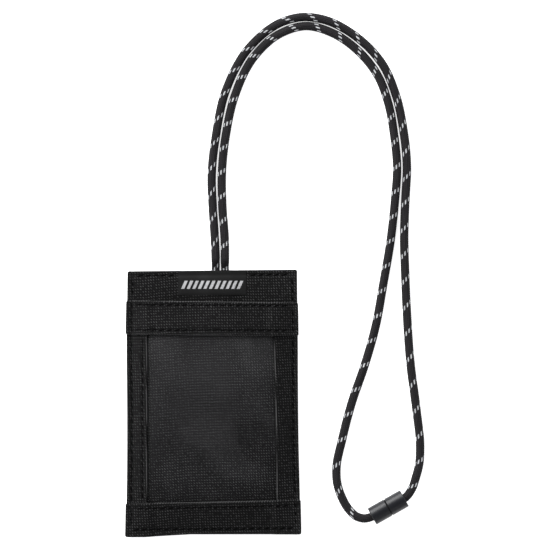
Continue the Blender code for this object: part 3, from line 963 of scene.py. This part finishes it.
def band_base(x, y):
    """Height of the middle of a band's under ply."""
    return strip_base(x, y) + (2 * FOLD_RADIUS + CLOTH + 0.00003 + SEWN_RISE) * over_strips(x, y)


def band_rise(x, y):
    sides = [x - side_row_left(y), x - side_row_right(y)]
    upper = np.where(y > 0, y - top_band_upper_row(x), y - bottom_band_upper_row(x))
    lower = np.where(y > 0, y - top_band_lower_row(x), y - bottom_band_lower_row(x))
    return beside_rows(*sides, upper, lower)


def band(name, section, corner):
    """A band: a section swept across, which gives y, height over the base and distance to the ends by x."""
    columns = edged(BAND_WIDTH, FINE_STEP, CLOTH / 2)[None, :] / BAND_WIDTH
    x = -BAND_WIDTH / 2 + BAND_WIDTH * columns
    y, height, from_end = section(x)
    cut = corner - np.sqrt(np.maximum(corner**2 - (corner - np.minimum(from_end, corner)) ** 2, 0))
    low_x = left_edge(y) - BAND_OVERHANG + cut
    high_x = right_edge(y) + BAND_OVERHANG - cut
    x = low_x + (high_x - low_x) * columns
    z = band_base(x, y) + height + band_rise(x, y)
    return cloth_piece(name, np.stack([x, y, z], axis=2), CLOTH, nylon)


def top_section(x):
    """Under ply, lower fold, top ply, upper fold, under ply."""
    away, height = fold_line(BAND_HEM)
    up = np.linspace(0, 1, 40)[1:-1]
    low = top_band_edge(x)
    high = mouth_edge(x)
    flat = low + FOLD_RADIUS + (high - low - 2 * FOLD_RADIUS) * up[:, None]
    y = np.concatenate([low + away[:, None], flat, high - away[::-1, None]])
    height = np.concatenate([height, np.full(len(up), 2 * FOLD_RADIUS), height[::-1]])[:, None]
    return y, height, np.minimum(y - low, high - y)


def bottom_section(x):
    """Raw edge in the bottom seam, top ply, upper fold, under ply."""
    away, height = fold_line(BAND_HEM)
    low = bottom_edge(x) - 0.0001
    high = bottom_band_edge(x)
    tall = high - low - FOLD_RADIUS
    up = edged(0.0175, FINE_STEP, CLOTH / 2)[:-1, None] / 0.0175
    y = np.concatenate([low + tall * up, high - away[::-1, None]])
    height = np.concatenate([np.full(len(up), 2 * FOLD_RADIUS), height[::-1]])[:, None]
    return y, height, np.minimum(y - low, (high - y) * 1.6)


top_band = band("top_band_cloth", top_section, BAND_CORNER)
bottom_band = band("bottom_band_cloth", bottom_section, CORNER)
for made, node in ((top_band, "top_band"), (bottom_band, "bottom_band")):
    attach(made, "pouch")
    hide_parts(node)

# ------------------------------------------------------------
# Sewing: nine rows of black lockstitch. Each stitch is a short piece of thread that comes up out of the
# cloth, lies on it and goes down again.

STITCH_PITCH = 0.0040
STITCH_LENGTH = 0.0032
THREAD_RADIUS = 0.00032
STITCH_LIFT = 0.00018
STITCH_RINGS = 9
STITCH_SIDES = 10


def front_face(x, y):
    """Height of the outermost cloth over a place on the front, outside the window."""
    on_top_band = (y < mouth_edge(x)) & (y > top_band_edge(x))
    on_band = on_top_band | (y < bottom_band_edge(x))
    banded = band_base(x, y) + 2 * FOLD_RADIUS + band_rise(x, y)
    stripped = strip_base(x, y) + 2 * FOLD_RADIUS + strip_rise(x, y)
    on_pocket = np.where(on_band, banded, stripped)
    return np.where(y > mouth_edge(x), inner_middle(x, y), on_pocket) + CLOTH / 2


def clear_of_edges(x, y):
    """Whether a stitch's middle is far enough from the folded edges that it would have to cross."""
    gaps = [y - mouth_edge(x), y - top_band_edge(x), y - bottom_band_edge(x)]
    return min(abs(float(gap)) for gap in gaps) > STITCH_LENGTH / 2 + 0.0003


def black_thread():
    """Black bonded thread: three strands twisted together."""
    made, shader, base = finish_of("sewing_thread", 0.7, Specular_IOR_Level=0.02)
    place, along, around = split_uv(base)
    twist = (along / 0.0009 + around).wave()
    colour = twist.between((0.0006, 0.0006, 0.0006, 1), (0.0022, 0.0022, 0.0022, 1))
    bump = base.bump(0.5, 0.00008, twist)
    feed(made, shader, Base_Color=colour, Normal=bump)
    return made


def stitched(name, line, node, crossing=False):
    """A row of stitches along a line of x and y: closed tubes, thinner at both ends.

    A stitch's height over the cloth is lift * (1 - 2 |2t - 1|^3), t running from 0 to 1 along it. A row
    that is crossing leaves out each stitch that would cross a folded edge.
    """
    lengths = np.append(0, np.cumsum(np.linalg.norm(np.diff(line, axis=0), axis=1)))
    count = int(lengths[-1] / STITCH_PITCH)
    offset = (lengths[-1] - count * STITCH_PITCH) / 2
    points = []
    faces = []
    uv = []
    for i in range(count):
        middle = offset + (i + 0.5) * STITCH_PITCH
        centre = [np.interp(middle, lengths, line[:, k]) for k in (0, 1)]
        if crossing and not clear_of_edges(*centre):
            continue
        jitter = random.uniform(-1, 1, 3)
        t = np.linspace(0, 1, STITCH_RINGS)[:, None]
        spots = middle + (t - 0.5) * (STITCH_LENGTH + 0.00025 * jitter[0])
        x = np.interp(spots, lengths, line[:, 0])
        y = np.interp(spots, lengths, line[:, 1])
        ahead = np.array([line[-1, 0] - line[0, 0], line[-1, 1] - line[0, 1]]) / lengths[-1]
        sideways = (t - 0.5) * (0.0008 + 0.0002 * jitter[1])
        x = x - ahead[1] * sideways
        y = y + ahead[0] * sideways
        z = front_face(x, y) + STITCH_LIFT * (1 - 2 * np.abs(2 * t - 1) ** 3) + 0.00002 * jitter[2]
        around = np.linspace(0, TURN, STITCH_SIDES + 1)[None, :]
        out = THREAD_RADIUS * (1 - 0.35 * np.abs(2 * t - 1) ** 4)
        aside = out * np.sin(around)
        ring = np.stack([x - ahead[1] * aside, y + ahead[0] * aside, z + out * np.cos(around)], axis=2)
        ring = ring[:, :STITCH_SIDES]
        quads = grid_quads(STITCH_RINGS, STITCH_SIDES, wrapped=True)[:, ::-1]
        flat = np.stack([spots + 0 * around, around / TURN + 0 * spots], axis=2).reshape(-1, 2)
        first = len(points)
        points.extend(ring.reshape(-1, 3))
        faces.extend((quads + first).tolist())
        last = first + STITCH_RINGS * STITCH_SIDES - 1
        faces.append([first + k for k in range(STITCH_SIDES)])
        faces.append([last - k for k in range(STITCH_SIDES)])
        uv.append(flat[grid_quads(STITCH_RINGS, STITCH_SIDES + 1)][:, ::-1].reshape(-1, 2))
        uv.append(flat[:STITCH_SIDES])
        uv.append(flat[-2 : -2 - STITCH_SIDES : -1])
    made = make_piece(name, points, faces, np.concatenate(uv), thread)
    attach(made, "pouch")
    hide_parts(node)


def across_row(row, start, end):
    x = np.linspace(start, end, 60)
    return np.column_stack([x, row(x)])


def up_row(row, start, end):
    y = np.linspace(start, end, 80)
    return np.column_stack([row(y), y])


random = np.random.default_rng(7)
thread = black_thread()
for side, start, end in (("left", -0.0415, LABEL_LEFT - 0.0003), ("right", LABEL_RIGHT + 0.0003, 0.0405)):
    stitched(f"hem_stitches_{side}", across_row(hem_row, start, end), f"hem_thread_{side}")
for side, row, start in (("left", side_row_left, -0.0645), ("right", side_row_right, -0.0640)):
    stitched(f"side_stitches_{side}", up_row(row, start, 0.0665), f"side_thread_{side}", crossing=True)
stitched("strip_stitches", up_row(strip_row, -0.0510, 0.0352), "strip_thread", crossing=True)
for level, row in (("upper", top_band_upper_row), ("lower", top_band_lower_row)):
    line = across_row(row, -0.0418, 0.0402)
    stitched(f"top_band_stitches_{level}", line, f"top_band_thread_{level}")
line = across_row(bottom_band_upper_row, -0.0420, 0.0418)
stitched("bottom_stitches_upper", line, "bottom_band_thread_upper")
line = across_row(bottom_band_lower_row, -0.0438, 0.0436)
stitched("bottom_stitches_lower", line, "bottom_band_thread_lower")

# ------------------------------------------------------------
# Breakaway barrel: two moulded halves on one axis. The plug half's split nose snaps into the socket half
# and pulls out under load. A melted bead on each run of the cord stops it from slipping out of its half.

BARREL_RADIUS = 0.0048
CORD_HOLE = 0.0025
NOSE_RADIUS = 0.0030
NOSE_BORE_RADIUS = 0.0021
NOSE_LENGTH = 0.0046
SNAP_HEIGHT = 0.0001
SNAP_LENGTH = 0.0008
SLOT_HALF = 0.00035
PARTING_HALF = 0.00001
GROOVE_HALF = 0.00035
GROOVE_DEPTH = 0.00035
END_WALL = 0.0018
CHAMBER = 0.0034
BEAD_RADIUS = 0.0029
BEAD_HALF = 0.0010
BEAD_ROWS = 23
BEAD_SIDES = 48
BARREL_SIDES = 96
PRONG_SIDES = 20
BARREL_ACROSS = np.array([-BARREL_AXIS[1], BARREL_AXIS[0], 0.0])


def rounded(profile, cuts):
    """A closed profile with its corners rounded: each becomes a parabola that starts cut before it."""
    shape = []
    count = len(profile)
    for i in range(count):
        here = np.array(profile[i])
        before = np.array(profile[i - 1]) - here
        after = np.array(profile[(i + 1) % count]) - here
        cut = min(cuts[i], 0.45 * np.linalg.norm(before), 0.45 * np.linalg.norm(after))
        entry = here + before / np.linalg.norm(before) * cut
        leave = here + after / np.linalg.norm(after) * cut
        for t in np.linspace(0, 1, 5):
            shape.append((1 - t) ** 2 * entry + 2 * t * (1 - t) * here + t**2 * leave)
    return np.array(shape)


def around_axis(radius, along, angle):
    """Points at this radius, place along the barrel's axis and angle round it."""
    sideways = BARREL_ACROSS * (radius * np.cos(angle))[..., None]
    upwards = np.array([0.0, 0.0, 1.0]) * (radius * np.sin(angle))[..., None]
    return BARREL_CENTRE + BARREL_AXIS * along[..., None] + sideways + upwards


def turned(shape, start, end, steps):
    """Points and quads of a profile swept about the axis, all the way round or as a closed wedge."""
    whole = end - start > TURN - 1e-6
    angle = np.linspace(start, end, steps + 1)[: steps if whole else steps + 1]
    rows = len(shape)
    radius = np.repeat(shape[:, :1], len(angle), axis=1)
    along = np.repeat(shape[:, 1:], len(angle), axis=1)
    points = around_axis(radius, along, angle[None, :] + 0 * radius)
    quads = grid_quads(rows + 1, len(angle), wrapped=whole) % (rows * len(angle))
    faces = quads.tolist()
    if not whole:
        last = len(angle) - 1
        faces.append([r * len(angle) for r in range(rows)][::-1])
        faces.append([r * len(angle) + last for r in range(rows)])
    return points.reshape(-1, 3), faces


def moulded_plastic():
    """Dark blue-grey acetal, satin, with a faint moulded grain, and painted shade, dull black, at the
    parting.
    """
    made, shader, base = finish_of("barrel_plastic", 0.36, Specular_IOR_Level=0.28)
    place = base.node("ShaderNodeTexCoord", output=3)
    grain = base.noise(place, 2400.0, 2.0, "3D")
    cast = base.noise(place, 180.0, 1.0, "3D")
    colour = cast.between((0.0045, 0.0050, 0.0066, 1), (0.0070, 0.0077, 0.0098, 1))
    away = place.part(0) * float(BARREL_AXIS[0]) + place.part(1) * float(BARREL_AXIS[1])
    away = away - float(BARREL_CENTRE @ BARREL_AXIS)
    # Painted shade: the sunken ring at the parting is coloured near black and made rough.
    groove_shade = 1 - abs(away).step(GROOVE_HALF * 0.9, GROOVE_HALF * 1.1)
    colour = groove_shade.between(colour, (0.001, 0.001, 0.0012, 1))
    bump = base.bump(0.15, 0.00005, grain)
    feed(made, shader, Base_Color=colour, Roughness=0.32 + grain * 0.12 + groove_shade * 0.6, Normal=bump)
    return made


def melted_end():
    """Cord melted into a hard glossy bead."""
    made, shader, base = finish_of("melted_end", 0.35)
    place = base.node("ShaderNodeTexCoord", output=3)
    swirl = base.noise(place, 900.0, 3.0, "3D", Distortion=1.0)
    colour = swirl.step(0.35, 0.65).between((0.006, 0.0055, 0.006, 1), (0.03, 0.03, 0.031, 1))
    bump = base.bump(0.4, 0.0001, swirl)
    feed(made, shader, Base_Color=colour, Roughness=0.28 + swirl * 0.3, Normal=bump)
    return made


def bead(name, along, seed):
    """A melted bead: a flattened ball whose radius swells and dips a little round and along it."""
    polar = np.linspace(0, np.pi, BEAD_ROWS + 2)[1:-1, None]
    angle = np.linspace(0, TURN, BEAD_SIDES + 1)[None, :-1]
    swell = 1 + 0.03 * np.sin(3 * angle + seed) * np.sin(polar)
    swell = swell + 0.02 * np.sin(5 * angle + 2 * polar + seed)
    radius = BEAD_RADIUS * 0.94 * np.sin(polar) * swell
    place = along + BEAD_HALF * np.cos(polar) + 0 * angle
    points = around_axis(radius, place, angle + 0 * polar).reshape(-1, 3)
    ends = around_axis(np.zeros(2), along + BEAD_HALF * np.array([1.0, -1.0]), np.zeros(2))
    faces = grid_quads(BEAD_ROWS, BEAD_SIDES, wrapped=True).tolist()
    tip = len(points)
    last_row = tip - BEAD_SIDES
    for c in range(BEAD_SIDES):
        ahead = (c + 1) % BEAD_SIDES
        faces.append([tip, ahead, c])
        faces.append([tip + 1, last_row + c, last_row + ahead])
    return make_piece(name, np.concatenate([points, ends]), faces, None, melted)


acetal = moulded_plastic()
melted = melted_end()
snap = -NOSE_LENGTH + 2 * SNAP_LENGTH
bore = NOSE_RADIUS + SNAP_HEIGHT + CLEARANCE
inner_end = END_WALL - BARREL_HALF
socket_profile = [
    (BARREL_RADIUS, -GROOVE_HALF),
    (BARREL_RADIUS, -BARREL_HALF),
    (CORD_HOLE, -BARREL_HALF),
    (CORD_HOLE, inner_end),
    (bore, inner_end),
    (bore, snap - SNAP_LENGTH - CLEARANCE),
    (bore + SNAP_HEIGHT, snap - SNAP_LENGTH),
    (bore + SNAP_HEIGHT, snap),
    (bore, snap + CLEARANCE),
    (bore, -PARTING_HALF),
    (BARREL_RADIUS - GROOVE_DEPTH, -PARTING_HALF),
    (BARREL_RADIUS - GROOVE_DEPTH, -GROOVE_HALF),
]
soft = [0.0001, 0.0004, 0.0002, 0.0001, 0.0001, *[0.00005] * 4, 0.0001, 0.00001, 0.00001]
shape = rounded(socket_profile, soft)[::-1]
socket_points, socket_faces = turned(shape, 0, TURN, BARREL_SIDES)
socket = make_piece("barrel_socket", socket_points, socket_faces, None, acetal, sharp=38)

far_end = BARREL_HALF - END_WALL
plug_profile = [
    (BARREL_RADIUS, BARREL_HALF),
    (BARREL_RADIUS, GROOVE_HALF),
    (BARREL_RADIUS - GROOVE_DEPTH, GROOVE_HALF),
    (BARREL_RADIUS - GROOVE_DEPTH, PARTING_HALF),
    (NOSE_BORE_RADIUS, PARTING_HALF),
    (NOSE_BORE_RADIUS, PARTING_HALF + END_WALL),
    (CHAMBER, PARTING_HALF + END_WALL),
    (CHAMBER, far_end),
    (CORD_HOLE, far_end),
    (CORD_HOLE, BARREL_HALF),
]
soft = [0.0004, 0.0001, 0.00001, 0.00001, 0.0001, 0.0001, 0.0001, 0.0001, 0.0001, 0.0002]
shape = rounded(plug_profile, soft)[::-1]
plug_points, plug_faces = turned(shape, 0, TURN, BARREL_SIDES)
nose_profile = [
    (NOSE_RADIUS, PARTING_HALF + 0.0004),
    (NOSE_RADIUS, snap),
    (NOSE_RADIUS + SNAP_HEIGHT, -NOSE_LENGTH + 1.5 * SNAP_LENGTH),
    (NOSE_RADIUS + SNAP_HEIGHT, -NOSE_LENGTH + SNAP_LENGTH),
    (NOSE_RADIUS - SNAP_HEIGHT, -NOSE_LENGTH),
    (NOSE_BORE_RADIUS, -NOSE_LENGTH),
    (NOSE_BORE_RADIUS, PARTING_HALF + 0.0004),
]
soft = [0.00005, 0.00005, 0.00005, 0.0001, 0.0001, 0.0001, 0.00005]
shape = rounded(nose_profile, soft)[::-1]
slot_turn = SLOT_HALF / NOSE_RADIUS
for i in range(4):
    prong_start = i * TURN / 4 + slot_turn
    prong_end = (i + 1) * TURN / 4 - slot_turn
    prong_points, prong_faces = turned(shape, prong_start, prong_end, PRONG_SIDES)
    plug_faces += [[corner + len(plug_points) for corner in face] for face in prong_faces]
    plug_points = np.concatenate([plug_points, prong_points])
plug = make_piece("barrel_plug", plug_points, plug_faces, None, acetal, sharp=38)

bead_place = CORD_STOP - CLEARANCE - BEAD_HALF
socket_bead = bead("socket_bead_melted", -bead_place, 0.4)
plug_bead = bead("plug_bead_melted", bead_place, 2.1)
for made, body, node, material in (
    (socket, "pouch", "socket_shell", "barrel_plastic"),
    (plug, "plug", "plug_shell", "barrel_plastic"),
    (socket_bead, "pouch", "socket_bead", "cord_knit"),
    (plug_bead, "plug", "plug_bead", "cord_knit"),
):
    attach(made, body)
    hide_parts(node)

# ------------------------------------------------------------
# Studio: a white light table, one large soft light from the upper left, and a camera straight above. The
# room has pale walls, palest behind the light, and a dark ceiling.

VIEW_MIDDLE = (0.0322, 0.0670)
VIEW_HEIGHT = 2.39
TABLE_HALF = 3
KEY_AZIMUTH = np.radians(122)
KEY_TILT = np.radians(58)
KEY_AWAY = 1.2
ROOM_WALLS = 1.55
ROOM_CEILING = 0.22


def white_table():
    """Plain white, matt, and lit a little from below, as a light table is."""
    made, shader, base = finish_of("table_white", 0.95, Emission_Strength=0.8)
    shader.inputs["Base Color"].default_value = (0.70, 0.70, 0.70, 1)
    shader.inputs["Emission Color"].default_value = (1, 1, 1, 1)
    return made


table_data = bpy.data.meshes.new("table")
corners = [(x * TABLE_HALF, y * TABLE_HALF, 0) for x, y in ((-1, -1), (1, -1), (1, 1), (-1, 1))]
table_data.from_pydata(corners, [], [(0, 1, 2, 3)])
table_data.materials.append(white_table())
table = bpy.data.objects.new("table", table_data)
bpy.context.scene.collection.objects.link(table)

key_data = bpy.data.lights.new("key_light", "AREA")
key_data.shape = "SQUARE"
key_data.size = 0.9
key_data.energy = 27.0
key = bpy.data.objects.new("key_light", key_data)
flat_away = KEY_AWAY * np.sin(KEY_TILT)
key.location = (
    VIEW_MIDDLE[0] + flat_away * np.cos(KEY_AZIMUTH),
    VIEW_MIDDLE[1] + flat_away * np.sin(KEY_AZIMUTH),
    KEY_AWAY * np.cos(KEY_TILT),
)
key.rotation_euler = (0.0, KEY_TILT, KEY_AZIMUTH)
bpy.context.scene.collection.objects.link(key)

world = bpy.data.worlds.new("room")
world.use_nodes = True
room = Value(world.node_tree, None)
direction = room.node("ShaderNodeTexCoord")
toward_key = direction.part(0) * float(np.cos(KEY_AZIMUTH)) + direction.part(1) * float(np.sin(KEY_AZIMUTH))
walls = (toward_key * 0.55 + 1) * ROOM_WALLS
strength = walls - direction.part(2).step(0.60, 0.93) * (walls - ROOM_CEILING)
background = world.node_tree.nodes["Background"]
background.inputs["Color"].default_value = (0.97, 0.98, 1.0, 1)
world.node_tree.links.new(strength.socket, background.inputs["Strength"])
bpy.context.scene.world = world

camera_data = bpy.data.cameras.new("camera")
camera_data.lens = 300.0
camera_data.sensor_width = 36.0
camera = bpy.data.objects.new("camera", camera_data)
camera.location = (VIEW_MIDDLE[0], VIEW_MIDDLE[1], VIEW_HEIGHT)
bpy.context.scene.collection.objects.link(camera)
bpy.context.scene.camera = camera
bpy.context.scene.view_settings.view_transform = "Standard"
